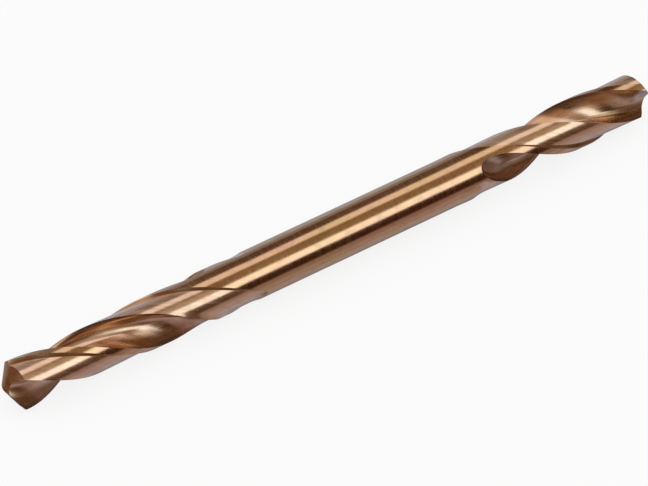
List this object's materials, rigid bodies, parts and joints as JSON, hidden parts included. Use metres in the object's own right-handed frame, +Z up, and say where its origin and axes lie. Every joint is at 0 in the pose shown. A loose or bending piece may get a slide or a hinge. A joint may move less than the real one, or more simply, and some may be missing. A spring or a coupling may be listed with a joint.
{
  "type": "double-ended drill bit",
  "caption": "Short twist drill with a fluted cutting part and a ground point at each end of one plain shank, for drilling sheet metal and rivets.",
  "frame": {"origin": "on the drill's axis, at half its overall length", "axes": "+X along the drill's axis, towards the end with the shorter cutting part; +Z up"},
  "size_m": [0.049, 0.0032, 0.0032],
  "materials": {
    "cobalt_steel": "polished"
  },
  "bodies": {
    "root": {"drill_bit": "cobalt_steel"}
  },
  "joints": []
}
